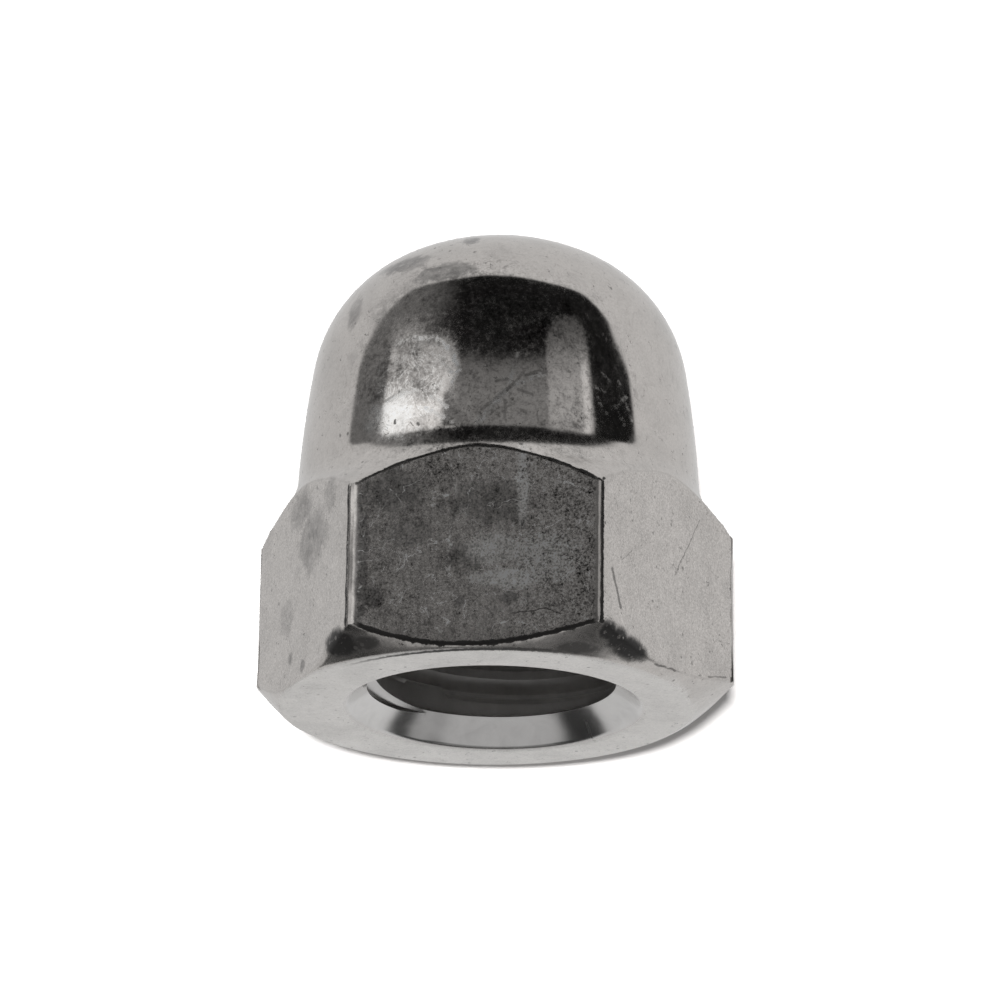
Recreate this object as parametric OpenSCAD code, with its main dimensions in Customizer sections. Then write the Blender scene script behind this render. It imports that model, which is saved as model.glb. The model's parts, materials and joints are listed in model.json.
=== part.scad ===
// Domed cap nut, M16: a hexagon with a closed dome on top, forged and turned
// in one piece, with a blind threaded hole in its underside.
// The origin is the middle of the bearing face, and +Z points to the crown.

/* [Thread] */
// Nominal diameter of the screw thread
thread_d = 16; // [14:0.5:17]
// Pitch of the screw thread
pitch = 2; // [1:0.25:2.5]
// Depth of the tapping drill's hole at its full diameter
hole_depth = 19; // [14:0.5:19.5]
// Included angle of the drill's point
drill_point = 118; // [100:2:150]
// Diameter of the countersink at the bearing face
countersink_d = 17; // [17:0.1:19]

/* [Hexagon] */
// Width across the flats
across_flats = 24; // [24:0.1:25]
// Width over the corners, which are turned off a little
over_corners = 27.2; // [26:0.1:27.6]
// Diameter of the flat bearing face
bearing_d = 22.9; // [21:0.1:23.5]
// Slope of the lower chamfer, measured from the bearing face
lower_chamfer = 36; // [15:1:45]

/* [Dome] */
// Height of the whole nut
height = 28; // [27.5:0.1:30]
// Diameter of the dome where the fillet at its foot begins
dome_d = 23.1; // [22.5:0.1:23.2]
// Height of that place above the bearing face
dome_foot = 13.2; // [12.4:0.1:14]
// Lean of the dome's side at its foot, inwards from the upright
draft = 3.2; // [2:0.2:4]
// Radius of the side's slight bulge, seen from the side
side_r = 67; // [62:1:75]
// Radius of the middle of the crown
crown_r = 13.3; // [12.8:0.1:14.5]
// Radius of the shoulder between the crown and the side
shoulder_r = 8.7; // [7.5:0.1:9.5]
// Radius of the fillet between the dome and the upper chamfer
foot_fillet_r = 3.4; // [2:0.1:4]
// Slope of the upper chamfer, measured from the level
upper_chamfer = 48; // [40:1:55]

/* [Hidden] */
$fn = 120;

arc_step = 360 / $fn;
// A cutter or a bar runs past the face that it meets by this much.
overrun = 1;

// An internal metric thread's crests stand 5/8 of the sharp V inside the nominal diameter.
sharp_v = pitch * cos(30);
hole_r = thread_d / 2 - 5 / 8 * sharp_v;
// A 90 degree countersink is as deep as it is wide on each side.
countersink_depth = countersink_d / 2 - hole_r;
drill_tip = hole_depth + hole_r / tan(drill_point / 2);

// The dome's outline in radius and height: the arcs of the crown, the shoulder
// and the side run into each other without a corner.
foot = [dome_d / 2, dome_foot];
across_side = [cos(draft), sin(draft)];
side_centre = foot - side_r * across_side;
crown_centre = [0, height - crown_r];
// The shoulder's centre is this far from the centres of the side and the crown.
from_side = side_r - shoulder_r;
from_crown = crown_r - shoulder_r;
side_to_crown = crown_centre - side_centre;
span = norm(side_to_crown);
along = (span * span + from_side * from_side - from_crown * from_crown) / (2 * span);
aside = sqrt(from_side * from_side - along * along);
shoulder_centre = side_centre
    + (along * side_to_crown + aside * [-side_to_crown.y, side_to_crown.x]) / span;
side_to_shoulder = shoulder_centre - side_centre;
crown_to_shoulder = shoulder_centre - crown_centre;
shoulder_start = atan2(crown_to_shoulder.y, crown_to_shoulder.x);
shoulder_finish = atan2(side_to_shoulder.y, side_to_shoulder.x);

// The fillet leaves the side at the foot and runs into the upper chamfer.
fillet_centre = foot + foot_fillet_r * across_side;
fillet_start = 180 + draft;
fillet_finish = 270 - upper_chamfer;
fillet_end = fillet_centre + foot_fillet_r * [cos(fillet_finish), sin(fillet_finish)];

// The two chamfers end where the corners are turned off.
corner_r = over_corners / 2;
upper_corner = fillet_end.y - (corner_r - fillet_end.x) * tan(upper_chamfer);
lower_corner = (corner_r - bearing_d / 2) * tan(lower_chamfer);

// Points along an arc between two angles, without its first one.
function arc(centre, r, first, last) =
    let (steps = ceil(abs(last - first) / arc_step))
        [for (i = [1 : steps])
            let (a = first + (last - first) * i / steps)
                centre + r * [cos(a), sin(a)]];

// The blank as it comes from the lathe, round all over and still without its hole.
module turned_blank() {
    rotate_extrude()
        polygon([
            [0, height],
            each arc(crown_centre, crown_r, 90, shoulder_start),
            each arc(shoulder_centre, shoulder_r, shoulder_start, shoulder_finish),
            each arc(side_centre, side_r, shoulder_finish, draft),
            each arc(fillet_centre, foot_fillet_r, fillet_start, fillet_finish),
            [corner_r, upper_corner],
            [corner_r, lower_corner],
            [bearing_d / 2, 0],
            [0, 0]
        ]);
}

// The six flats, with one pair of them facing along Y.
module hexagon_bar() {
    translate([0, 0, -overrun])
        cylinder(d = across_flats / cos(30), h = height + 2 * overrun, $fn = 6);
}

// The blind hole: countersink, the tapping drill's bore and its point.
module drilled_hole() {
    translate([0, 0, -overrun])
        cylinder(r1 = countersink_d / 2 + overrun, r2 = hole_r, h = countersink_depth + overrun);
    cylinder(r = hole_r, h = hole_depth);
    translate([0, 0, hole_depth])
        cylinder(r1 = hole_r, r2 = 0, h = drill_tip - hole_depth);
}

module cap_nut() {
    color("silver")
        difference() {
            intersection() {
                turned_blank();
                hexagon_bar();
            }
            drilled_hole();
        }
}

cap_nut();
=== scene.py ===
"""Dresses the domed cap nut: its turned and cut body, its plated finish, the studio and the view.

All sizes are metres, in the frame of the CAD part: the origin is the middle of the bearing face and +Z
points to the crown.
"""

import json
import logging
import math
from collections.abc import Iterable
from dataclasses import dataclass, field
from typing import Any

import bmesh
import bpy
from bmesh.types import BMEdge, BMesh, BMFace, BMVert
from mathutils import Matrix, Vector, noise

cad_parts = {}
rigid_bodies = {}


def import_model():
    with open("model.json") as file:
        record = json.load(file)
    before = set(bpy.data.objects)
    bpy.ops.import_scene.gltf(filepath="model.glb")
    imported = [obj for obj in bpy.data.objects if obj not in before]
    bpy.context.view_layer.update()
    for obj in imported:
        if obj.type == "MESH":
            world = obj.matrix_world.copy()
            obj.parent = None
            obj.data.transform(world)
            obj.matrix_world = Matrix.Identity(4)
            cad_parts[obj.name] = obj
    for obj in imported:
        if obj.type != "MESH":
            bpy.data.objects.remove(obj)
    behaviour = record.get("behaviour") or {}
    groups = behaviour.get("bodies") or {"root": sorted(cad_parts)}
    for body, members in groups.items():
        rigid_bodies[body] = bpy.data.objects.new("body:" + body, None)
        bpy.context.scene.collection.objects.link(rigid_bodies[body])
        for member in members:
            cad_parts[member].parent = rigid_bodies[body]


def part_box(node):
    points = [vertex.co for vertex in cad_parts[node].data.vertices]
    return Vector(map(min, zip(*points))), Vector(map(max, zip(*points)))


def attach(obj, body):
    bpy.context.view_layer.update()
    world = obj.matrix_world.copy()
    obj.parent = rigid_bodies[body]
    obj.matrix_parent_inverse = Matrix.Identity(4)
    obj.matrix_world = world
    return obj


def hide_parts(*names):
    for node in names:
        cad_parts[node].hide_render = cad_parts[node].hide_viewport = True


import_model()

LOG = logging.getLogger("cap_nut")
MM = 0.001
NODE = "cap_nut"


# ---- shader maths


class Wire:
    """One output of a shader graph, on which Python's operators add the Math nodes they stand for."""

    def __init__(self, graph: "Graph", socket: bpy.types.NodeSocket) -> None:
        """Wraps a socket.

        Args:
            graph: The graph that the socket belongs to.
            socket: The output socket.
        """
        self.graph = graph
        self.socket = socket

    def __add__(self, other: "Wire | float") -> "Wire":
        """Sum."""
        return self.graph.math("ADD", self, other)

    __radd__ = __add__

    def __sub__(self, other: "Wire | float") -> "Wire":
        """Difference."""
        return self.graph.math("SUBTRACT", self, other)

    def __rsub__(self, other: "Wire | float") -> "Wire":
        """Difference from a number."""
        return self.graph.math("SUBTRACT", other, self)

    def __mul__(self, other: "Wire | float") -> "Wire":
        """Product."""
        return self.graph.math("MULTIPLY", self, other)

    __rmul__ = __mul__

    def __truediv__(self, other: "Wire | float") -> "Wire":
        """Quotient."""
        return self.graph.math("DIVIDE", self, other)

    def __neg__(self) -> "Wire":
        """Opposite."""
        return self.graph.math("MULTIPLY", self, -1.0)

    def __abs__(self) -> "Wire":
        """Size without its sign."""
        return self.graph.math("ABSOLUTE", self)

    def __pow__(self, power: float) -> "Wire":
        """Power."""
        return self.graph.math("POWER", self, power)

    def least(self, other: "Wire | float") -> "Wire":
        """The smaller of two values."""
        return self.graph.math("MINIMUM", self, other)

    def most(self, other: "Wire | float") -> "Wire":
        """The larger of two values."""
        return self.graph.math("MAXIMUM", self, other)

    def rise(self, low: float, high: float) -> "Wire":
        """A smooth step.

        Args:
            low: The value at which the step starts, at 0.
            high: The value at which it is done, at 1; below low it falls instead.

        Returns:
            The step's height, from 0 to 1.
        """
        node = self.graph.node(
            "ShaderNodeMapRange",
            {"interpolation_type": "SMOOTHSTEP"},
            {"Value": self, "From Min": low, "From Max": high, "To Min": 0.0, "To Max": 1.0},
        )
        return self.graph.out(node, "Result")


class Graph:
    """A node tree under construction."""

    def __init__(self, tree: bpy.types.NodeTree) -> None:
        """Empties a tree and keeps it.

        Args:
            tree: The node tree of a material or of the world.
        """
        self.tree = tree
        tree.nodes.clear()

    def node(
        self, kind: str, settings: dict[str, Any] | None = None, inputs: dict[Any, Any] | None = None
    ) -> bpy.types.Node:
        """Adds a node.

        Args:
            kind: The node's type.
            settings: Its own settings, set before the inputs.
            inputs: Values or wires for its input sockets, by name or by index.

        Returns:
            The node.
        """
        node = self.tree.nodes.new(kind)
        for name, value in (settings or {}).items():
            setattr(node, name, value)
        for name, value in (inputs or {}).items():
            socket = node.inputs[name]
            if isinstance(value, Wire):
                self.tree.links.new(value.socket, socket)
            else:
                socket.default_value = value
        return node

    def out(self, node: bpy.types.Node, name: str | int = 0) -> Wire:
        """An output of a node, as a wire."""
        return Wire(self, node.outputs[name])

    def math(self, operation: str, *values: "Wire | float") -> Wire:
        """One Math node's result."""
        return self.out(self.node("ShaderNodeMath", {"operation": operation}, dict(enumerate(values))))

    def mix(self, factor: "Wire | float", first: Any, second: Any) -> Wire:
        """Mixes two colours.

        Args:
            factor: The share of the second colour.
            first: A colour or a wire that carries one.
            second: The other colour.

        Returns:
            The mixed colour.
        """
        node = self.node("ShaderNodeMix", {"data_type": "RGBA"}, {0: factor, 6: first, 7: second})
        return self.out(node, 2)

    def split(self, vector: Wire) -> tuple[Wire, Wire, Wire]:
        """The three parts of a vector."""
        node = self.node("ShaderNodeSeparateXYZ", {}, {0: vector})
        return self.out(node, 0), self.out(node, 1), self.out(node, 2)

    def noise(
        self, place: Wire, size: float, detail: float = 2.0, rough: float = 0.5, warp: float = 0.0
    ) -> Wire:
        """A soft random value about 0.5.

        Args:
            place: The coordinates.
            size: The size of one blot.
            detail: How many finer layers lie over it.
            rough: How strong the finer layers are.
            warp: How much the pattern is bent.

        Returns:
            The value.
        """
        node = self.node(
            "ShaderNodeTexNoise",
            {"noise_dimensions": "3D"},
            {"Vector": place, "Scale": 1.0 / size, "Detail": detail, "Roughness": rough, "Distortion": warp},
        )
        return self.out(node, 0)

    def stretch(
        self, place: Wire, scale: tuple[float, float, float], turn: tuple[float, float, float]
    ) -> Wire:
        """Coordinates turned and then stretched, for a pattern with a direction."""
        kind, settings = "ShaderNodeMapping", {"vector_type": "POINT"}
        turned = self.node(kind, settings, {"Vector": place, "Rotation": turn})
        return self.out(self.node(kind, settings, {"Vector": self.out(turned), "Scale": scale}))

    def cells(self, place: Wire, size: float) -> tuple[Wire, Wire]:
        """Scattered points.

        Args:
            place: The coordinates.
            size: Their usual distance.

        Returns:
            The distance to the nearest point, as a share of the size, and a random value of its own.
        """
        node = self.node(
            "ShaderNodeTexVoronoi",
            {"voronoi_dimensions": "3D", "feature": "F1"},
            {"Vector": place, "Scale": 1.0 / size, "Randomness": 1.0},
        )
        return self.out(node, "Distance"), self.split(self.out(node, "Color"))[0]

    def vector(
        self, operation: str, *values: Any, scale: "Wire | float | None" = None, part: str = "Vector"
    ) -> Wire:
        """One Vector Math node's result.

        Args:
            operation: The node's operation.
            values: Its vectors.
            scale: The number that it takes besides them, if any.
            part: Which of its outputs is used.

        Returns:
            The output.
        """
        inputs: dict[Any, Any] = dict(enumerate(values))
        if scale is not None:
            inputs["Scale"] = scale
        return self.out(self.node("ShaderNodeVectorMath", {"operation": operation}, inputs), part)

    def carried(self, name: str) -> Wire:
        """The value of one of the mesh's own attributes."""
        return self.out(self.node("ShaderNodeAttribute", {"attribute_name": name}), "Fac")


# ---- the shape


class Outline:
    """A half section of a turned part, drawn as a chain of edges in the plane of X and Z."""

    def __init__(self, start: Vector) -> None:
        """Starts the chain.

        Args:
            start: Its first point.
        """
        self.mesh = bmesh.new()
        self.end: BMVert = self.mesh.verts.new(start)

    def arc(self, centre: Vector, turn: float, steps: int) -> None:
        """Goes on along an arc.

        Args:
            centre: The arc's centre.
            turn: The angle swept, positive from the crown outwards and down.
            steps: How many edges it gets.
        """
        swept = bmesh.ops.spin(
            self.mesh, geom=[self.end], cent=centre, axis=(0.0, 1.0, 0.0), angle=turn, steps=steps
        )
        self.end = next(item for item in swept["geom_last"] if isinstance(item, BMVert))

    def line(self, radius: float, height: float, steps: int = 1) -> None:
        """Goes on along a straight line.

        Args:
            radius: The line's end, as a distance from the axis.
            height: The line's end, as a height.
            steps: How many edges it gets.
        """
        start, finish = self.end.co.copy(), Vector((radius, 0.0, height))
        for step in range(1, steps + 1):
            grown = bmesh.ops.extrude_vert_indiv(self.mesh, verts=[self.end])
            self.end = grown["verts"][0]
            self.end.co = start.lerp(finish, step / steps)

    def turned(self, steps: int) -> BMesh:
        """Spins the section all the way round.

        Args:
            steps: How many faces lie round the axis.

        Returns:
            The closed turned part.
        """
        mesh = self.mesh
        bmesh.ops.spin(
            mesh,
            geom=mesh.verts[:] + mesh.edges[:],
            cent=(0.0, 0.0, 0.0),
            axis=(0.0, 0.0, 1.0),
            angle=2.0 * math.pi,
            steps=steps,
            use_merge=True,
        )
        bmesh.ops.remove_doubles(mesh, verts=mesh.verts[:], dist=1e-7)
        bmesh.ops.recalc_face_normals(mesh, faces=mesh.faces[:])
        return mesh


@dataclass
class Thread:
    """A coarse internal metric thread, cut as one helical groove that starts in the countersink.

    The groove passes the height called mouth at the back. It starts at the angle called phase, where it is
    pressed in to the share called shallow of its radius, and comes to its full depth over the angle run_in.
    """

    diameter: float = 16.0 * MM
    pitch: float = 2.0 * MM
    mouth: float = 1.1 * MM
    phase: float = math.radians(122.0)
    length: float = 15.4 * MM
    run_in: float = math.radians(88.0)
    shallow: float = 0.87
    overlap: float = 0.22 * MM
    flank: float = math.radians(30.0)
    steps: int = 120

    @property
    def start(self) -> float:
        """The height at which the groove's middle starts."""
        return self.mouth + self.pitch * (self.phase - math.radians(90.0)) / (2.0 * math.pi)

    @property
    def minor(self) -> float:
        """The radius of the bore that the thread is cut in."""
        return self.diameter / 2.0 - 5.0 / 8.0 * self.pitch * math.cos(self.flank)

    def cutter(self) -> BMesh:
        """Shapes the tool that cuts the groove.

        Returns:
            A helical bar whose section is the groove, carried on a little way into the bore.
        """
        inner = self.minor - self.overlap
        half_root = self.pitch / 16.0
        half_mouth = half_root + (self.diameter / 2.0 - inner) * math.tan(self.flank)
        mesh = bmesh.new()
        corners = [
            mesh.verts.new((inner, 0.0, -half_mouth)),
            mesh.verts.new((self.diameter / 2.0, 0.0, -half_root)),
            mesh.verts.new((self.diameter / 2.0, 0.0, half_root)),
            mesh.verts.new((inner, 0.0, half_mouth)),
        ]
        section = mesh.faces.new(corners)
        turns = self.length / self.pitch
        count = round(turns * self.steps)
        bmesh.ops.rotate(
            mesh, verts=mesh.verts[:], cent=(0.0, 0.0, 0.0), matrix=Matrix.Rotation(self.phase, 3, "Z")
        )
        bmesh.ops.translate(mesh, verts=mesh.verts[:], vec=(0.0, 0.0, self.start))
        bmesh.ops.spin(
            mesh,
            geom=[section, *section.edges, *section.verts],
            cent=(0.0, 0.0, 0.0),
            axis=(0.0, 0.0, 1.0),
            dvec=(0.0, 0.0, self.pitch / self.steps),
            angle=2.0 * math.pi * turns,
            steps=count,
        )
        for vert in mesh.verts:
            swept = (math.atan2(vert.co.y, vert.co.x) - self.phase) % (2.0 * math.pi)
            if swept < self.run_in and vert.co.z < self.start + self.pitch:
                depth = self.shallow + (1.0 - self.shallow) * swept / self.run_in
                vert.co.x *= depth
                vert.co.y *= depth
        loose = [edge for edge in mesh.edges if edge.is_boundary]
        if loose:
            bmesh.ops.holes_fill(mesh, edges=loose)
        bmesh.ops.recalc_face_normals(mesh, faces=mesh.faces[:])
        return mesh


@dataclass
class CapNut:
    """The nut: a turned blank with six flats, worn edges, a countersink and a threaded blind hole."""

    corners: float
    flats: float
    height: float
    dome_d: float = 23.1 * MM
    dome_foot: float = 13.2 * MM
    draft: float = math.radians(3.2)
    side_r: float = 67.0 * MM
    crown_r: float = 13.3 * MM
    shoulder_r: float = 8.7 * MM
    foot_fillet_r: float = 3.4 * MM
    upper_chamfer: float = math.radians(48.0)
    lower_chamfer: float = math.radians(36.0)
    bearing_d: float = 23.3 * MM
    countersink_d: float = 17.0 * MM
    hole_depth: float = 19.0 * MM
    drill_point: float = math.radians(118.0)
    corner_r: float = 13.72 * MM
    turned_aside: float = 0.08 * MM
    faced_aside: float = -0.54 * MM
    bearing_round: float = 0.8 * MM
    mouth_round: float = 0.9 * MM
    edge_width: float = 0.2 * MM
    faced_height: float = 1.5 * MM
    bore_reach: float = 9.0 * MM
    bore_top: float = 24.0 * MM
    round_steps: int = 256
    ease_steps: int = 8
    grid_size: float = 0.6 * MM
    grid_half_width: float = 7.2 * MM
    grid_height: float = 13.0 * MM
    flat_wave: float = 0.012 * MM
    flat_wave_rate: float = 420.0
    rim_angle: float = 0.02
    corner_wave: float = 0.055 * MM
    corner_wave_rate: tuple[float, float, float] = (250.0, 250.0, 520.0)
    corner_reach: float = 13.3 * MM
    corner_fade: float = 0.3 * MM
    sharp_angle: float = math.radians(33.0)
    thread: Thread = field(default_factory=Thread)

    def outline(self) -> Outline:
        """Draws the half section: crown, shoulder, side, fillet, chamfers, bearing face and hole.

        Returns:
            The section as a chain of edges.
        """
        foot = Vector((self.dome_d / 2.0, 0.0, self.dome_foot))
        across = Vector((math.cos(self.draft), 0.0, math.sin(self.draft)))
        side_centre = foot - self.side_r * across
        crown_centre = Vector((0.0, 0.0, self.height - self.crown_r))
        from_side, from_crown = self.side_r - self.shoulder_r, self.crown_r - self.shoulder_r
        to_crown = crown_centre - side_centre
        span = to_crown.length
        along = (span**2 + from_side**2 - from_crown**2) / (2.0 * span)
        aside = math.sqrt(from_side**2 - along**2)
        upward = Vector((-to_crown.z, 0.0, to_crown.x))
        shoulder_centre = side_centre + (along * to_crown + aside * upward) / span
        to_shoulder = shoulder_centre - crown_centre
        start = math.atan2(to_shoulder.z, to_shoulder.x)
        to_shoulder = shoulder_centre - side_centre
        finish = math.atan2(to_shoulder.z, to_shoulder.x)
        fillet_centre = foot + self.foot_fillet_r * across
        fillet_turn = math.radians(90.0) - self.upper_chamfer - self.draft

        section = Outline(Vector((0.0, 0.0, self.height)))
        section.arc(crown_centre, math.radians(90.0) - start, 22)
        section.arc(shoulder_centre, start - finish, 44)
        section.arc(side_centre, finish - self.draft, 14)
        section.arc(fillet_centre, -fillet_turn, 20)
        end = section.end.co.copy()
        upper_corner = end.z - (self.corner_r - end.x) * math.tan(self.upper_chamfer)
        lower_corner = (self.corner_r - self.bearing_d / 2.0) * math.tan(self.lower_chamfer)
        section.line(self.corner_r, upper_corner, 2)
        section.line(self.corner_r, lower_corner, 36)
        minor = self.thread.minor
        sink = self.countersink_d / 2.0 - minor
        knee = Vector((self.corner_r, 0.0, lower_corner))
        rim = Vector((self.bearing_d / 2.0, 0.0, 0.0))
        lip = Vector((self.countersink_d / 2.0, 0.0, 0.0))
        self.ease(section, knee, rim, lip, self.bearing_round)
        self.ease(section, rim, lip, Vector((minor, 0.0, sink)), self.mouth_round)
        section.line(minor, sink, 3)
        section.line(minor, self.hole_depth, 24)
        section.line(0.0, self.hole_depth + minor / math.tan(self.drill_point / 2.0))
        return section

    def ease(self, section: Outline, past: Vector, corner: Vector, ahead: Vector, radius: float) -> None:
        """Draws the line up to a corner and rounds the corner off.

        Args:
            section: The outline being drawn.
            past: A point before the corner.
            corner: The corner.
            ahead: A point after it.
            radius: The rounding's radius.
        """
        before, after = (past - corner).normalized(), (ahead - corner).normalized()
        bend = math.pi - before.angle(after)
        first = corner + radius * math.tan(bend / 2.0) * before
        centre = corner + (before + after).normalized() * (radius / math.cos(bend / 2.0))
        section.line(first.x, first.z)
        section.arc(centre, bend, self.ease_steps)

    def flat_normals(self) -> list[Vector]:
        """The outward directions of the six flats, the front one first."""
        return [Vector((math.sin(k * math.pi / 3.0), -math.cos(k * math.pi / 3.0), 0.0)) for k in range(6)]

    @staticmethod
    def cut(mesh: BMesh, point: Vector, outward: Vector, clear: bool) -> list[BMEdge]:
        """Cuts the whole mesh with a plane.

        Args:
            mesh: The mesh.
            point: A point of the plane.
            outward: The plane's outward direction.
            clear: Whether what lies outside goes.

        Returns:
            The edges of the cut that are left open.
        """
        bmesh.ops.bisect_plane(
            mesh,
            geom=mesh.verts[:] + mesh.edges[:] + mesh.faces[:],
            dist=1e-7,
            plane_co=point,
            plane_no=outward,
            clear_outer=clear,
            clear_inner=False,
        )
        return [edge for edge in mesh.edges if edge.is_boundary]

    def cut_flats(self, mesh: BMesh) -> list[BMFace]:
        """Cuts the six flats and fills them.

        Args:
            mesh: The turned blank.

        Returns:
            One face for each flat.
        """
        side = Vector((self.corners / 2.0, 0.0, 0.0))
        for sign in (1.0, -1.0):
            if max(v.co.x * sign for v in mesh.verts) > side.x:
                loose = self.cut(mesh, side * sign, side.normalized() * sign, True)
                bmesh.ops.edgeloop_fill(mesh, edges=loose)
        normals = self.flat_normals()
        for outward in normals:
            self.cut(mesh, outward * (self.flats / 2.0 - self.edge_width), outward, False)
        faces: list[BMFace] = []
        for outward in normals:
            loose = self.cut(mesh, outward * (self.flats / 2.0), outward, True)
            faces += bmesh.ops.edgeloop_fill(mesh, edges=loose)["faces"]
        return faces

    def knock_corners(self, mesh: BMesh) -> None:
        """Gives the six corners the slight waves that knocks have left, always inwards."""
        for vert in mesh.verts:
            radius = math.hypot(vert.co.x, vert.co.y)
            share = min(1.0, max(0.0, (radius - self.corner_reach) / self.corner_fade))
            if share > 0.0:
                place = vert.co * Vector(self.corner_wave_rate)
                knock = self.corner_wave * share * min(1.0, abs(noise.noise(place)) * 2.0)
                vert.co.x -= vert.co.x / radius * knock
                vert.co.y -= vert.co.y / radius * knock

    def wave_flat(self, mesh: BMesh, face: BMFace, outward: Vector) -> list[BMVert]:
        """Divides a flat into a grid and gives it the slight hollows that are left by the tool and by use.

        Args:
            mesh: The mesh.
            face: The flat's face.
            outward: Its outward direction.

        Returns:
            The flat's vertices.
        """
        border = set(face.verts)
        parts: list[Any] = [face, *face.edges, *face.verts]
        across, upward = Vector((-outward.y, outward.x, 0.0)), Vector((0.0, 0.0, 1.0))
        half, top = self.grid_half_width, self.grid_height
        for direction, first, last in ((across, -half, half), (upward, 0.0, top)):
            place = first
            while place < last:
                place += self.grid_size
                cut = bmesh.ops.bisect_plane(
                    mesh, geom=parts, dist=1e-7, plane_co=direction * place, plane_no=direction
                )
                parts = cut["geom"]
        verts = [item for item in parts if isinstance(item, BMVert)]
        for vert in verts:
            bends = any(other.calc_face_angle(0.0) > self.rim_angle for other in vert.link_edges)
            if vert not in border and not bends:
                wave = 0.5 + noise.noise(vert.co * self.flat_wave_rate)
                vert.co -= outward * self.flat_wave * max(0.0, wave)
        return verts

    def build(self) -> bpy.types.Object:
        """Shapes the nut.

        Returns:
            The finished object.
        """
        mesh = self.outline().turned(self.round_steps)
        # The outside was turned a hair off the hexagon's own axis, and the bottom was faced off it too. The
        # hole stays on the axis.
        for vert in mesh.verts:
            radius = math.hypot(vert.co.x, vert.co.y)
            if radius > self.bore_reach or vert.co.z > self.bore_top:
                share = min(1.0, vert.co.z / self.faced_height)
                vert.co.x += self.faced_aside + (self.turned_aside - self.faced_aside) * share
        faces = self.cut_flats(mesh)
        edge = mesh.verts.layers.float.new("edge")
        flat = mesh.verts.layers.float.new("flat")
        rims = {vert for face in faces for vert in face.verts}
        bmesh.ops.inset_individual(mesh, faces=faces, thickness=self.edge_width, use_even_offset=True)
        for vert in rims:
            vert[edge] = 1.0
        bmesh.ops.smooth_vert(
            mesh, verts=list(rims), factor=1.0, use_axis_x=True, use_axis_y=True, use_axis_z=True
        )
        for face, outward in zip(faces, self.flat_normals()):
            for vert in self.wave_flat(mesh, face, outward):
                vert[flat] = 1.0
        self.knock_corners(mesh)
        LOG.info("body: %d faces", len(mesh.faces))
        body = self.to_object("nut_body", mesh)
        cutter = self.to_object("thread_cutter", self.thread.cutter())
        self.subtract(body, cutter)
        body.data.shade_smooth()
        body.data.set_sharp_from_angle(angle=self.sharp_angle)
        weigh = body.modifiers.new("even_shading", "WEIGHTED_NORMAL")
        weigh.keep_sharp = True
        LOG.info("nut: %d faces", len(body.data.polygons))
        return body

    @staticmethod
    def to_object(name: str, mesh: BMesh) -> bpy.types.Object:
        """Makes an object of a finished bmesh, which is freed."""
        data = bpy.data.meshes.new(name)
        mesh.to_mesh(data)
        mesh.free()
        made = bpy.data.objects.new(name, data)
        bpy.context.scene.collection.objects.link(made)
        return made

    @staticmethod
    def subtract(body: bpy.types.Object, cutter: bpy.types.Object) -> None:
        """Cuts one object out of another and removes the cutter.

        Args:
            body: The object that is cut.
            cutter: The object that cuts it.
        """
        boolean = body.modifiers.new("cut", "BOOLEAN")
        boolean.operation = "DIFFERENCE"
        boolean.solver = "EXACT"
        boolean.object = cutter
        shown = body.evaluated_get(bpy.context.evaluated_depsgraph_get())
        old = body.data
        body.data = bpy.data.meshes.new_from_object(shown)
        body.modifiers.clear()
        bpy.data.meshes.remove(old)
        data = cutter.data
        bpy.data.objects.remove(cutter)
        bpy.data.meshes.remove(data)


# ---- the finish


@dataclass(frozen=True)
class Stain:
    """A patch on the surface, with sizes in millimetres."""

    middle: tuple[float, float, float]
    reach: tuple[float, float, float]
    depth: float = 1.0

    def mask(self, graph: Graph, place: Wire, ragged: Wire) -> Wire:
        """Where the patch lies.

        Args:
            graph: The material's graph.
            place: Coordinates in millimetres.
            ragged: A random value about 0, which breaks up its edge.

        Returns:
            The patch's depth inside it, and 0 outside.
        """
        away = graph.vector("DIVIDE", graph.vector("SUBTRACT", place, self.middle), self.reach)
        return (graph.vector("LENGTH", away, part="Value") + ragged).rise(1.3, 0.6) * self.depth


@dataclass(frozen=True)
class Scratch:
    """A line from one point of the surface to another, with sizes in millimetres: a scratch, or a painted
    glint.
    """

    start: tuple[float, float, float]
    end: tuple[float, float, float]
    width: float = 0.07
    depth: float = 1.0

    def mask(self, graph: Graph, place: Wire) -> Wire:
        """Where the scratch lies.

        Args:
            graph: The material's graph.
            place: Coordinates in millimetres, slightly bent.

        Returns:
            The scratch's depth on it, and 0 beside it.
        """
        along = Vector(self.end) - Vector(self.start)
        from_start = graph.vector("SUBTRACT", place, self.start)
        share = graph.vector("DOT_PRODUCT", from_start, tuple(along / along.length_squared), part="Value")
        nearest = graph.vector("SCALE", tuple(along), scale=share.most(0.0).least(1.0))
        away = graph.vector("DISTANCE", from_start, nearest, part="Value")
        return away.rise(self.width, self.width * 0.3) * self.depth


def strongest(masks: Iterable[Wire]) -> Wire | float:
    """The strongest of several marks at each place, or 0 where there is none."""
    found: Wire | float = 0.0
    for mask in masks:
        found = mask.most(found)
    return found


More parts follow.
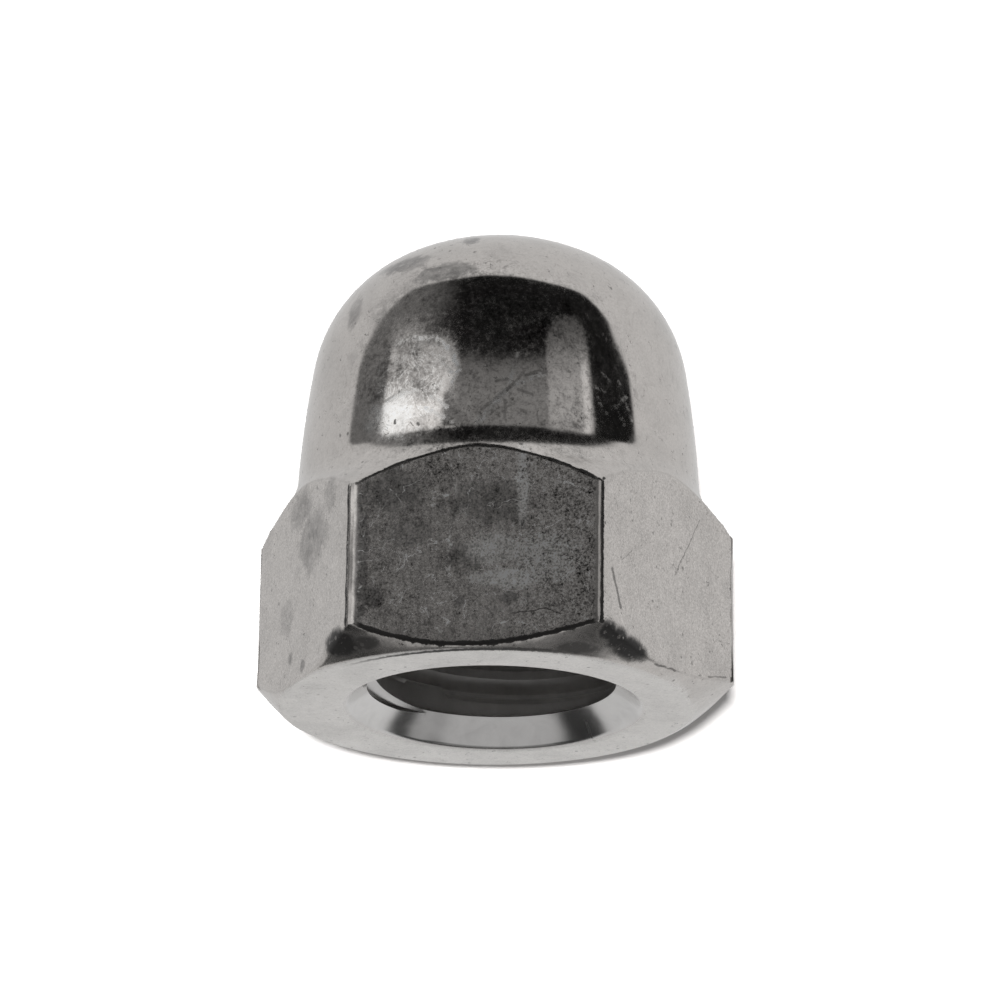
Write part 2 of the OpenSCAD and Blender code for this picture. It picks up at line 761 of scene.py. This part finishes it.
@dataclass(frozen=True)
class PlatedSteel:
    """Bright plated steel that has knocked about in a box, with scuffs, stains, scratches and dirt, and with
    painted highlights, painted shade and a painted dark reflection in its colour.
    """

    metal: tuple[float, float, float, float] = (0.635, 0.605, 0.58, 1.0)
    # Bare metal, also the colour of the painted highlights.
    bare_and_highlight: tuple[float, float, float, float] = (0.80, 0.785, 0.765, 1.0)
    dull: tuple[float, float, float, float] = (0.31, 0.297, 0.288, 1.0)
    # Dark dirt, also the colour of painted shade and of a painted dark reflection.
    grime_and_shade: tuple[float, float, float, float] = (0.022, 0.020, 0.019, 1.0)
    dust: tuple[float, float, float, float] = (0.30, 0.29, 0.28, 1.0)
    # Painted light: the bore is given a lighter colour than the plating, to lighten its dark inside.
    inside: tuple[float, float, float, float] = (0.74, 0.735, 0.73, 1.0)
    handled_at: Stain = Stain((0.4, -11.0, 16.5), (9.0, 4.5, 6.5))
    crumbled_at: Stain = Stain((-3.9, -10.4, 15.6), (2.7, 2.0, 3.3))
    # A painted highlight in the lower part of the rubbed patch.
    painted_highlight_at: Stain = Stain((-4.9, -10.2, 14.1), (1.6, 1.5, 1.4))
    dusty_at: Stain = Stain((-4.6, -9.4, 21.0), (2.6, 1.8, 1.5))
    # Gaps in the darkened edge line, on the front flat's two side edges.
    edge_line_gaps: tuple[Stain, ...] = (
        Stain((-6.6, -11.9, 6.0), (0.45, 0.45, 5.0), 0.8),
        Stain((6.72, -12.0, 5.7), (0.24, 0.26, 4.8), 0.95),
    )
    stains: tuple[Stain, ...] = (
        Stain((-4.6, -7.4, 24.3), (1.6, 1.8, 0.7), 0.95),
        Stain((-2.3, -9.4, 23.0), (1.7, 1.3, 0.7), 0.95),
        Stain((-1.0, -7.2, 25.8), (0.5, 1.0, 0.7), 0.95),
        Stain((-7.6, -7.0, 21.6), (0.5, 1.0, 1.2), 0.7),
        Stain((-9.6, -7.2, 7.9), (1.5, 2.4, 1.9), 0.75),
        Stain((-10.5, -5.7, 10.2), (1.0, 2.0, 1.2), 0.65),
        Stain((-11.4, -4.2, 4.3), (0.8, 1.4, 1.0), 0.5),
        Stain((-8.4, -9.4, 9.9), (0.5, 0.9, 1.4), 0.5),
        Stain((-4.4, -12.0, 9.0), (1.7, 0.6, 1.4), 0.8),
        Stain((0.9, -12.0, 8.4), (2.6, 0.6, 1.3), 0.8),
        Stain((-3.6, -12.0, 6.6), (1.5, 0.6, 1.0), 0.6),
        Stain((-0.6, -12.0, 5.3), (1.0, 0.6, 1.0), 0.7),
        Stain((1.95, -12.0, 2.8), (0.45, 0.6, 0.36), 1.0),
        Stain((-0.8, -12.0, 2.7), (0.40, 0.6, 0.36), 0.7),
        Stain((-5.6, -12.0, 3.0), (0.5, 0.6, 0.6), 0.9),
        Stain((-6.3, -12.0, 5.7), (0.45, 0.3, 5.5), 0.9),
        Stain((-11.06, -4.84, 1.7), (0.25, 0.4, 0.45), 0.9),
        Stain((-10.14, -6.43, 0.8), (0.25, 0.4, 0.35), 0.9),
        Stain((-12.2, -0.8, 0.57), (0.25, 0.5, 0.2), 0.9),
    )
    bright: tuple[Stain, ...] = (
        Stain((0.95, -12.0, 5.7), (1.5, 0.6, 1.0), 0.6),
        Stain((1.7, -12.0, 4.0), (1.9, 0.6, 0.6), 0.7),
        Stain((4.0, -12.0, 5.2), (2.0, 0.6, 1.4), 0.45),
        Stain((2.6, -12.0, 9.6), (0.35, 0.6, 2.6), 0.6),
        Stain((9.6, -2.6, 0.0), (1.6, 2.8, 0.4), 0.8),
        Stain((10.6, 1.0, 0.0), (1.0, 2.6, 0.4), 0.5),
    )
    # Dark patches in the lower front corners.
    dark_corner_patches: tuple[Stain, ...] = (
        Stain((-7.4, -10.3, 0.9), (1.5, 1.3, 0.8), 0.95),
        Stain((-5.9, -10.9, 0.7), (1.2, 0.9, 0.45), 0.8),
        Stain((7.3, -11.0, 1.1), (0.6, 0.9, 0.7), 0.95),
        Stain((8.5, -9.3, 0.7), (1.2, 1.6, 0.6), 0.95),
        Stain((7.8, -10.3, 0.9), (0.8, 0.9, 0.7), 0.95),
        Stain((5.6, -10.6, 0.35), (1.6, 0.8, 0.3), 0.7),
    )
    scratches: tuple[Scratch, ...] = (
        Scratch((11.87, -3.43, 9.99), (10.59, -5.66, 6.03), 0.06, 0.42),
        Scratch((7.48, -11.05, 4.7), (7.9, -10.3, 2.7), 0.15, 0.62),
        Scratch((7.94, -10.24, 5.46), (8.58, -9.14, 6.5), 0.05, 0.35),
        Scratch((2.1, -12.0, 1.95), (3.0, -12.0, 2.05), 0.07, 1.0),
        Scratch((3.0, -12.0, 2.05), (3.9, -12.0, 2.22), 0.07, 1.0),
        Scratch((3.9, -12.0, 2.22), (4.75, -12.0, 1.85), 0.07, 1.0),
        Scratch((-3.44, -12.0, 4.8), (-3.44, -12.0, 4.9), 0.08, 1.0),
        Scratch((-0.8, -12.0, 1.98), (-0.8, -12.0, 2.02), 0.09, 1.0),
        Scratch((9.6, -7.1, 0.4), (11.5, -4.2, 0.6), 0.09, 0.6),
        Scratch((11.5, -4.2, 0.6), (13.2, -1.1, 1.4), 0.08, 0.5),
        Scratch((4.83, 5.91, 0.87), (5.07, 6.62, 0.16), 0.10, 1.0),
        Scratch((6.98, -11.86, 1.8), (6.98, -11.86, 9.2), 0.13, 1.0),
        Scratch((0.2, -11.5, 14.0), (1.0, -11.4, 14.6), 0.15, 0.35),
        Scratch((1.0, -11.4, 14.6), (2.1, -11.2, 15.7), 0.16, 0.55),
        Scratch((2.1, -11.2, 15.7), (2.5, -11.0, 16.3), 0.15, 0.35),
        Scratch((1.0, -11.3, 15.7), (1.6, -11.2, 15.8), 0.15, 0.55),
        Scratch((2.6, -11.0, 16.1), (3.4, -10.8, 16.4), 0.15, 0.55),
        Scratch((2.2, -11.2, 15.2), (3.0, -11.0, 14.9), 0.14, 0.40),
        Scratch((1.5, -11.4, 14.5), (1.5, -11.4, 13.3), 0.14, 0.35),
        Scratch((-4.7, -10.5, 13.75), (-4.7, -10.5, 13.6), 0.12, 0.9),
        Scratch((-3.4, -11.0, 13.4), (-3.3, -11.0, 13.3), 0.13, 0.7),
        Scratch((-4.4, -10.4, 15.5), (-5.4, -10.0, 15.1), 0.12, 0.35),
    )
    # Light lines: scratches of bare metal, lightened further as painted highlights where the curve mirrors
    # bright panels.
    glints: tuple[Scratch, ...] = (
        Scratch((-1.5, -12.0, 11.2), (-1.1, -12.0, 9.0), 0.06, 0.55),
        Scratch((-5.9, -12.0, 6.9), (-4.9, -12.0, 8.5), 0.05, 0.45),
        Scratch((-5.3, -12.0, 5.4), (-4.5, -12.0, 6.8), 0.05, 0.45),
        Scratch((-4.6, -12.0, 5.7), (-3.4, -12.0, 5.3), 0.05, 0.4),
        Scratch((-7.1, -11.6, 3.05), (-6.2, -12.0, 3.6), 0.09, 1.0),
        Scratch((-7.1, -11.6, 3.3), (-6.3, -12.0, 3.35), 0.07, 0.8),
        Scratch((6.75, -11.8, 1.9), (6.65, -11.8, 9.4), 0.06, 0.35),
        Scratch((0.1, -11.55, 13.3), (1.8, -11.3, 15.4), 0.30, 0.9),
        Scratch((1.8, -11.3, 15.4), (3.6, -10.8, 16.3), 0.26, 0.8),
        Scratch((1.7, -11.3, 15.5), (2.2, -11.1, 17.4), 0.22, 0.5),
        Scratch((6.3, -9.5, 16.0), (6.9, -9.2, 15.7), 0.18, 0.36),
        Scratch((6.5, -9.4, 15.3), (6.7, -9.3, 14.8), 0.17, 0.33),
        Scratch((7.3, -8.9, 14.8), (8.0, -8.2, 15.7), 0.21, 0.38),
        Scratch((7.5, -8.7, 14.9), (7.9, -8.4, 14.0), 0.20, 0.35),
        Scratch((6.9, -9.2, 14.6), (7.2, -9.0, 14.0), 0.18, 0.33),
        Scratch((8.0, -8.2, 15.3), (8.3, -8.0, 14.4), 0.17, 0.33),
        Scratch((6.7, -9.1, 16.9), (7.2, -8.8, 16.4), 0.18, 0.31),
        Scratch((7.6, -8.4, 16.6), (7.8, -8.3, 16.0), 0.18, 0.30),
        Scratch((-4.7, -9.9, 18.6), (-3.7, -10.3, 18.7), 0.24, 0.8),
        Scratch((-3.7, -10.3, 18.7), (-2.5, -10.7, 18.5), 0.26, 0.9),
        Scratch((-2.5, -10.7, 18.5), (-1.6, -11.0, 17.7), 0.26, 0.9),
        Scratch((-1.6, -11.0, 17.7), (-1.1, -11.2, 16.5), 0.24, 0.9),
        Scratch((-1.1, -11.2, 16.5), (-1.5, -11.2, 15.6), 0.20, 0.8),
        Scratch((-2.2, -10.9, 17.1), (-1.5, -11.2, 16.3), 0.18, 0.8),
        Scratch((-5.2, -10.1, 15.1), (-3.6, -10.8, 15.5), 0.22, 0.9),
        Scratch((-2.7, -11.0, 15.0), (-1.7, -11.3, 14.2), 0.20, 0.8),
        Scratch((-3.0, -11.0, 14.3), (-1.4, -11.4, 13.3), 0.20, 0.8),
    )

    def material(self) -> bpy.types.Material:
        """Builds the material.

        Returns:
            The material.
        """
        made = bpy.data.materials.new("plated_steel_worn_with_painted_light")
        made.use_nodes = True
        graph = Graph(made.node_tree)
        place = graph.vector("SCALE", graph.out(graph.node("ShaderNodeTexCoord"), "Object"), scale=1.0 / MM)
        x, y, z = graph.split(place)
        radius = (x * x + y * y) ** 0.5

        # Which part of the nut a place lies on.
        flat, edge = graph.carried("flat"), graph.carried("edge")
        front = (-y).rise(11.85, 11.96) * flat
        dome = z.rise(12.4, 13.4)
        hole = radius.rise(8.6, 8.3) * z.rise(24.2, 23.4)
        under = z.rise(0.12, 0.03) * (1.0 - hole)
        facing = (-y).rise(8.5, 11.6)

        # Random values about 0, from broad to fine.
        broad = graph.noise(place, 4.0, 2.0, 0.55) - 0.5
        cloud = graph.noise(place, 1.5, 4.0, 0.64, 0.8) - 0.5
        ragged = graph.noise(place, 0.7, 4.0, 0.72) - 0.5
        fine = (graph.noise(place, 0.12, 3.0, 0.8) - 0.5) * (1.0 - hole * 0.85)
        frayed = graph.noise(place, 0.28, 2.0, 0.7) - 0.5
        upright = graph.noise(graph.stretch(place, (1.0, 1.0, 0.30), (0.0, 0.12, 0.0)), 0.34, 3.0, 0.65) - 0.5

        # Marks with a place of their own.
        handled = self.handled_at.mask(graph, place, cloud)
        stained = strongest(mark.mask(graph, place, ragged * 2.0 + cloud * 1.4) for mark in self.stains)
        stained = stained * (0.9 + ragged * 2.6)
        rubbed = strongest(mark.mask(graph, place, ragged * 1.8) for mark in self.bright)
        rubbed = rubbed * (0.9 + ragged * 2.0)
        corners = strongest(mark.mask(graph, place, ragged * 0.9) for mark in self.dark_corner_patches)
        bent = graph.vector("ADD", place, graph.vector("SCALE", self.wander(graph, place, 0.6), scale=0.22))
        flaky = (frayed + ragged * 0.8).rise(-0.10, 0.10)
        scored = strongest(mark.mask(graph, bent) for mark in self.scratches)
        # Glints: bare scratches with painted highlights on them, lighter still on the dome.
        glinting = strongest(mark.mask(graph, bent) for mark in self.glints)
        glinting = glinting * (0.3 + 0.7 * flaky)

        # Marks scattered at random.
        veins = abs(graph.noise(place, 2.4, 3.0, 0.55, 0.8) - 0.5).rise(0.009, 0.002)
        veins = veins * (cloud + ragged).rise(-0.10, 0.10)
        hairs = abs(graph.noise(graph.stretch(place, (1.0, 1.0, 0.4), (0.3, 0.5, 0.2)), 1.2, 3.0, 0.6) - 0.5)
        hairs = hairs.rise(0.008, 0.002) * ragged.rise(0.02, 0.14)
        far_speck, own_speck = graph.cells(place, 0.5)
        crowd = (broad + cloud * 0.8).rise(-0.12, 0.14)
        specks = (far_speck + ragged * 0.6).rise(0.24, 0.10) * own_speck.rise(0.70, 0.82)
        specks = specks * crowd * (1.0 - hole)
        pits = far_speck.rise(0.17, 0.09) * own_speck.rise(0.16, 0.12) * (0.35 + 0.65 * front)

        # The rubbed and dusty left of the dome, with a painted highlight low in its patch and painted shade
        # towards the patch's top.
        crumbled = self.crumbled_at.mask(graph, place, ragged * 1.2)
        # Painted highlight: the lower part of the rubbed patch is lightened.
        painted_highlight = self.painted_highlight_at.mask(graph, place, ragged * 2.0)
        dusty = self.dusty_at.mask(graph, place, ragged * 0.8)
        crumbs = abs(graph.noise(place, 1.3, 5.0, 0.78, 0.9) - 0.5).rise(0.030, 0.004)

        # Dirt and darkening along the edges, low on the front, in the lower front corners and in the marks,
        # with a painted dark reflection along the front of the bearing edge.
        # Darker low on the front, and along the rims, most on the front flat.
        low = z.rise(2.4, 1.2) * facing
        line = (edge + ragged * 1.3 + frayed * 1.1 + low * 0.32 + facing * 0.08).rise(0.52, 0.80)
        line = line * (0.06 + 0.89 * (-y).rise(11.52, 11.66))
        for mark in self.edge_line_gaps:
            line = line * (1.0 - mark.mask(graph, place, ragged * 0.4))
        # Painted reflection: a dark ring along the front of the bearing edge.
        rim = (abs(radius - 11.62) + frayed * 0.25).rise(0.18, 0.06) * z.rise(0.35, 0.2) * facing * 0.8
        chips = (far_speck + ragged * 0.5).rise(0.30, 0.18) * own_speck.rise(0.25, 0.35)
        # Darker low on the front, and in patches in the lower front corners.
        near_foot = z.rise(1.7, 0.6) * facing * (1.0 - under)
        low_front_darkening = (cloud + ragged + frayed).rise(-0.30, 0.22) * near_foot * 0.30
        low_front_darkening = low_front_darkening.most(corners * (frayed + ragged).rise(-0.38, -0.14) * (1.0 - chips * 0.35))
        # Dirt, scratches and specks, with the painted dark reflection and the darkening low on the front.
        dirt_and_shade = line.most(rim).most(low_front_darkening).most(scored * 0.75).most(pits * flat * 0.45)
        dirt_and_shade = dirt_and_shade.most(specks * 0.38).most(hairs * 0.5 * (1.0 - front) * (1.0 - hole))

        # How dull, how bare and how light the metal is, with painted highlights, a bearing face lightened
        # towards the back and a lighter bore among it.
        film = stained * (1.0 + 0.15 * front) + (0.04 + 1.5 * (cloud + ragged * 0.6).most(0.0)) * front
        film = (film + broad.rise(0.0, 0.2) * 0.26 + cloud.rise(0.04, 0.26) * 0.3).most(0.0).least(1.0)
        grains = crumbled * (frayed + fine).rise(0.0, 0.2)
        # Painted highlights from the glints and the lower rubbed patch add to the bare metal.
        bare_and_highlight = rubbed + veins * front * 0.9 + crumbled * crumbs * 0.7 + grains * 0.35
        bare_and_highlight = bare_and_highlight + painted_highlight * 0.9 + glinting
        bare_and_highlight = bare_and_highlight.most(0.0).least(1.0)
        # The bearing face is bare metal, lightened more towards the back as a painted highlight.
        bare_and_highlight = bare_and_highlight.most(under * (y.rise(2.0, 10.0) * 0.15 + 0.85))
        # Random lightness, which also carries painted highlights, a lighter bearing face and painted shade.
        tone_and_painted_light = 1.0 + broad * (0.45 + 0.5 * front) + cloud * (0.34 + 1.0 * front)
        worked = handled * (1.0 - crumbled * 0.6)
        coarse = front * (0.78 + 0.5 * (x + ragged * 1.5).rise(1.7, 2.7))
        tone_and_painted_light = tone_and_painted_light + fine * (0.55 + 0.9 * flat + 2.6 * coarse + 1.1 * worked)
        tone_and_painted_light = tone_and_painted_light + ragged * (worked * 1.2 + front * 0.4)
        tone_and_painted_light = tone_and_painted_light + upright * flat * (0.16 + 0.9 * front)
        tone_and_painted_light = tone_and_painted_light + frayed * (0.25 + 1.8 * coarse + 1.5 * worked) * (1.0 - hole)
        tone_and_painted_light = tone_and_painted_light + veins * front * 0.3 + front * 0.10
        tone_and_painted_light = tone_and_painted_light + worked * (broad * 1.0 + cloud * 0.9) + rubbed * front * 0.22 + under * 0.12
        # Painted shade: the rubbed patch darkens towards its top.
        patchy_and_shaded_top = cloud * 0.9 + ragged * 0.5 + crumbs * 0.25 - 0.40 * z.rise(14.3, 15.6)
        tone_and_painted_light = tone_and_painted_light + crumbled * patchy_and_shaded_top + painted_highlight * 0.1
        tone_and_painted_light = tone_and_painted_light + glinting * dome * 0.3 - hairs * worked * 0.3

        # Colour, gloss and grain.
        colour = graph.mix(film, self.metal, self.dull)
        colour = graph.mix(bare_and_highlight, colour, self.bare_and_highlight)
        # Painted light: the bore is mixed towards a lighter colour.
        colour = graph.mix(hole * 0.7, colour, self.inside)
        colour = graph.vector("SCALE", colour, scale=tone_and_painted_light)
        hazy = dusty * (0.16 + ragged * 1.2).most(0.0)
        hazy = hazy + (cloud + frayed * 0.5).rise(0.0, 0.3) * dome * (0.10 - 0.07 * handled)
        hazy = hazy + worked * (fine * 0.4 + frayed * 0.5 + ragged * 0.4) + stained * dome * 0.25
        hazy = hazy.most(0.0).least(1.0)
        colour = graph.mix(hazy, colour, self.dust)
        # Dirt and painted shade darken the colour here.
        colour = graph.mix(dirt_and_shade, colour, self.grime_and_shade)
        metallic = 1.0 - (hazy * 0.8).most(dirt_and_shade * 0.8)
        sink = hole * z.rise(2.0, 1.4)
        rough = 0.075 + 0.17 * flat + 0.18 * under + 0.22 * hole - 0.22 * sink
        rough = rough + 0.10 * (1.0 - dome) * (1.0 - flat) + film * 0.08 + bare_and_highlight * (0.16 - 0.10 * dome)
        rough = rough + hazy * 0.3 + dirt_and_shade * 0.25 + fine * 0.05 + cloud * 0.05
        rough = rough + glinting * dome * 0.22 - crumbled * 0.02

        height = fine * 0.0042 * (0.06 + 0.94 * flat) + (cloud * 0.007 + upright * 0.005) * flat
        bump = graph.node("ShaderNodeBump", {}, {"Height": height, "Distance": MM, "Strength": 1.0})
        surface = graph.node(
            "ShaderNodeBsdfPrincipled",
            {},
            {"Base Color": colour, "Metallic": metallic, "Roughness": rough, "Normal": graph.out(bump)},
        )
        graph.node("ShaderNodeOutputMaterial", {}, {"Surface": graph.out(surface)})
        return made

    @staticmethod
    def wander(graph: Graph, place: Wire, size: float) -> Wire:
        """A random vector about 0, which bends lines."""
        node = graph.node("ShaderNodeTexNoise", {}, {"Vector": place, "Scale": 1.0 / size, "Detail": 2.0})
        return graph.vector("SUBTRACT", graph.out(node, 1), (0.5, 0.5, 0.5))


# ---- the studio


@dataclass(frozen=True)
class Card:
    """A soft panel of the studio, placed by direction, in degrees round and up from the nut's front.

    It has a middle, half its width and height, the rounding of its corners, the softness of its rim and its
    level. It may fade towards its top, and its outer side may lean in below the top.
    """

    around: float
    up: float
    half_around: float
    half_up: float
    round_around: float
    round_up: float
    soft: float
    level: float
    fade: float = 0.0
    lean: float = 0.0


@dataclass(frozen=True)
class FloorPart:
    """A lighter stretch of the mirrored floor, its sides given by the X and Y of a unit direction."""

    left: float
    right: float
    near: float
    far: float
    level: float


@dataclass
class Studio:
    """A white room open towards the back, dark in front but for a few soft panels, a floor and a backdrop."""

    foot: float
    depth: float
    view: "Viewpoint"
    room: float = 0.67
    shade: float = 0.013
    cards: tuple[Card, ...] = (
        Card(-71.0, 25.0, 32.0, 37.0, 26.0, 14.0, 0.75, 0.17),
        Card(1.5, 14.0, 32.0, 19.3, 1.0, 1.0, 0.8, 0.130),
        Card(1.5, 29.0, 32.0, 4.3, 1.0, 1.0, 0.8, 0.215, 0.5),
        Card(48.5, 4.0, 14.3, 33.8, 9.0, 5.0, 0.12, 0.42, 0.72),
        Card(58.8, 27.2, 2.3, 5.3, 1.4, 2.0, 0.6, 0.72),
        Card(-43.4, 2.0, 24.0, 33.4, 13.0, 3.5, 0.12, 0.90, 0.60, 2.9),
        Card(0.0, -20.0, 90.0, 11.0, 1.0, 1.0, 3.0, 0.30),
    )
    floor_parts: tuple[FloorPart, ...] = (
        FloorPart(-0.38, 0.34, -0.02, 0.24, 0.20),
        FloorPart(-0.58, 0.54, -0.42, -0.02, 0.50),
        FloorPart(0.46, 0.85, -0.42, 0.20, 0.42),
    )
    dark_floor: float = 0.03
    plain: float = 0.15

    def world(self) -> None:
        """Builds the world: white past the nut, and the room in what the nut mirrors."""
        world = bpy.data.worlds.new("studio")
        bpy.context.scene.world = world
        world.use_nodes = True
        graph = Graph(world.node_tree)
        direction = graph.out(graph.node("ShaderNodeTexCoord"), "Generated")
        x, y, z = graph.split(direction)
        round_about = graph.math("ARCTAN2", x, -y) * math.degrees(1.0)
        upward = graph.math("ARCSINE", z) * math.degrees(1.0)
        light: Wire | float = self.shade
        for card in self.cards:
            out_x = (abs(round_about - card.around) - (card.half_around - card.round_around)).most(0.0)
            out_y = (abs(upward - card.up) - (card.half_up - card.round_up)).most(0.0)
            out_x, out_y = out_x / card.round_around, out_y / card.round_up
            beyond = (out_x * out_x + out_y * out_y) ** 0.5 - 1.0
            mask = beyond.rise(card.soft, -card.soft)
            if card.lean:
                inward = (32.0 - upward).most(0.0).least(3.0) * card.lean
                side = card.around + card.half_around - inward - round_about
                mask = mask * side.rise(-1.5, 1.5)
            level = card.level * (1.0 - card.fade * upward.rise(28.0, 38.0))
            light = light * (1.0 - mask) + mask * level
        below = z.rise(-0.5, -0.62)
        light = light * (1.0 - below) + below * self.dark_floor
        for part in self.floor_parts:
            inside = x.rise(part.left - 0.06, part.left + 0.06) * x.rise(part.right + 0.06, part.right - 0.06)
            inside = inside * y.rise(part.near - 0.03, part.near + 0.03)
            inside = inside * y.rise(part.far + 0.03, part.far - 0.03) * below
            light = light * (1.0 - inside) + inside * part.level
        edge = 0.06 * z.rise(0.0, 0.3) - 0.14 * z.rise(0.49, 0.58) - 0.18 * z.rise(0.80, 0.96)
        edge = edge + (0.43 + 0.05 * x) * z.rise(0.0, -0.6) - 0.03
        back = (y - edge).rise(-0.02, 0.02)
        mirrored = light * (1.0 - back) + back * (self.room + 0.03 * x)
        path = graph.node("ShaderNodeLightPath")
        seen, glossy = graph.out(path, "Is Camera Ray"), graph.out(path, "Is Glossy Ray")
        strength = seen + (1.0 - seen) * (glossy * mirrored + (1.0 - glossy) * self.plain)
        background = graph.node(
            "ShaderNodeBackground", {}, {"Color": (1.0, 1.0, 1.0, 1.0), "Strength": strength}
        )
        graph.node("ShaderNodeOutputWorld", {}, {"Surface": graph.out(background)})

    def sheet_material(self, name: str) -> bpy.types.Material:
        """A white sheet that catches shadows and is clear from its back.

        Args:
            name: The material's name.

        Returns:
            The material.
        """
        made = bpy.data.materials.new(name)
        made.use_nodes = True
        graph = Graph(made.node_tree)
        path = graph.node("ShaderNodeLightPath")
        matt = graph.node("ShaderNodeBsdfDiffuse", {}, {"Color": (0.9, 0.88, 0.87, 1.0)})
        glow = graph.node("ShaderNodeEmission", {}, {"Strength": graph.out(path, "Is Camera Ray") * 0.06})
        both = graph.node("ShaderNodeAddShader", {}, {0: graph.out(matt), 1: graph.out(glow)})
        clear = graph.node("ShaderNodeBsdfTransparent")
        back = graph.out(graph.node("ShaderNodeNewGeometry"), "Backfacing")
        shown = graph.node("ShaderNodeMixShader", {}, {0: back, 1: graph.out(both), 2: graph.out(clear)})
        graph.node("ShaderNodeOutputMaterial", {}, {"Surface": graph.out(shown)})
        return made

    def sheet(self, name: str, size: float, place: Matrix) -> bpy.types.Object:
        """Makes a square sheet of the stage.

        Args:
            name: Its name.
            size: Half its side.
            place: Its place, with its upper side along the local Z.

        Returns:
            The sheet.
        """
        mesh = bmesh.new()
        bmesh.ops.create_grid(mesh, x_segments=1, y_segments=1, size=size)
        bmesh.ops.transform(mesh, matrix=place, verts=mesh.verts[:])
        made = CapNut.to_object(name, mesh)
        made.data.materials.append(self.sheet_material(name))
        made.visible_glossy = False
        made.visible_shadow = False
        made.visible_diffuse = False
        return made

    def lamp(self, name: str, towards: Vector, strength: float, spread: float, lit: bpy.types.Object) -> None:
        """Adds a distant soft lamp that lights one sheet of the stage.

        Args:
            name: The lamp's name.
            towards: The direction in which its light travels.
            strength: Its strength.
            spread: Its angular size.
            lit: The sheet that it lights.
        """
        data = bpy.data.lights.new(name, "SUN")
        data.energy = strength
        data.angle = spread
        made = bpy.data.objects.new(name, data)
        made.rotation_euler = towards.to_track_quat("-Z", "Y").to_euler()
        made.visible_glossy = False
        bpy.context.scene.collection.objects.link(made)
        group = bpy.data.collections.new(name + "_lights")
        group.objects.link(lit)
        made.light_linking.receiver_collection = group

    def build(self) -> None:
        """Sets up the world, the stage and its lamps."""
        self.world()
        floor = self.sheet("floor", 0.6, Matrix.Translation((0.0, 0.0, self.foot - 0.02 * MM)))
        back, right, up = self.view.back(), self.view.right(), self.view.up()
        turn = Matrix((right, up, back)).transposed().to_4x4()
        backdrop = self.sheet("backdrop", 0.3, Matrix.Translation(-back * self.depth) @ turn)
        self.lamp("floor_lamp", Vector((0.35, 0.45, -1.0)), 4.2, math.radians(14.0), floor)
        slant = -back + right * 0.046 - up * 0.102
        self.lamp("backdrop_lamp", slant, 3.6, math.radians(3.2), backdrop)


# ---- the view


@dataclass(frozen=True)
class Viewpoint:
    """Where the camera stands: in front of the nut and below it, looking up at its hole."""

    target: Vector
    azimuth: float = math.radians(5.586)
    elevation: float = math.radians(-18.876)
    distance: float = 264.25 * MM
    roll: float = math.radians(0.781)
    lens: float = 165.12

    def back(self) -> Vector:
        """The direction from the nut to the camera."""
        a, e = self.azimuth, self.elevation
        return Vector((math.sin(a) * math.cos(e), -math.cos(a) * math.cos(e), math.sin(e)))

    def right(self) -> Vector:
        """The camera's direction to the right."""
        level = Vector((0.0, 0.0, 1.0)).cross(self.back()).normalized()
        return math.cos(self.roll) * level + math.sin(self.roll) * self.back().cross(level)

    def up(self) -> Vector:
        """The camera's upward direction."""
        return self.back().cross(self.right())

    def build(self) -> bpy.types.Object:
        """Makes the camera.

        Returns:
            The camera, which is made the scene's own.
        """
        data = bpy.data.cameras.new("view")
        data.sensor_width = 36.0
        data.lens = self.lens
        data.clip_start = 0.01
        made = bpy.data.objects.new("view", data)
        turn = Matrix((self.right(), self.up(), self.back())).transposed().to_4x4()
        made.matrix_world = Matrix.Translation(self.target + self.back() * self.distance) @ turn
        bpy.context.scene.collection.objects.link(made)
        bpy.context.scene.camera = made
        return made


def main() -> None:
    logging.basicConfig(level=logging.INFO, format="%(name)s: %(message)s")
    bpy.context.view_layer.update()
    low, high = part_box(NODE)
    size = Vector(high) - Vector(low)
    view = Viewpoint(target=Vector((0.172 * MM, 0.017 * MM, 0.4496 * size.z)))
    view.build()
    nut = CapNut(corners=size.x, flats=size.y, height=size.z)
    body = nut.build()
    body.data.materials.append(PlatedSteel().material())
    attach(body, "root")
    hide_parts(NODE)
    LOG.info("piece: %s", body.name)
    Studio(foot=low[2], depth=15.8 * MM, view=view).build()
    scene = bpy.context.scene
    scene.view_settings.view_transform = "Standard"
    bpy.context.view_layer.update()


if __name__ == "__main__":
    main()
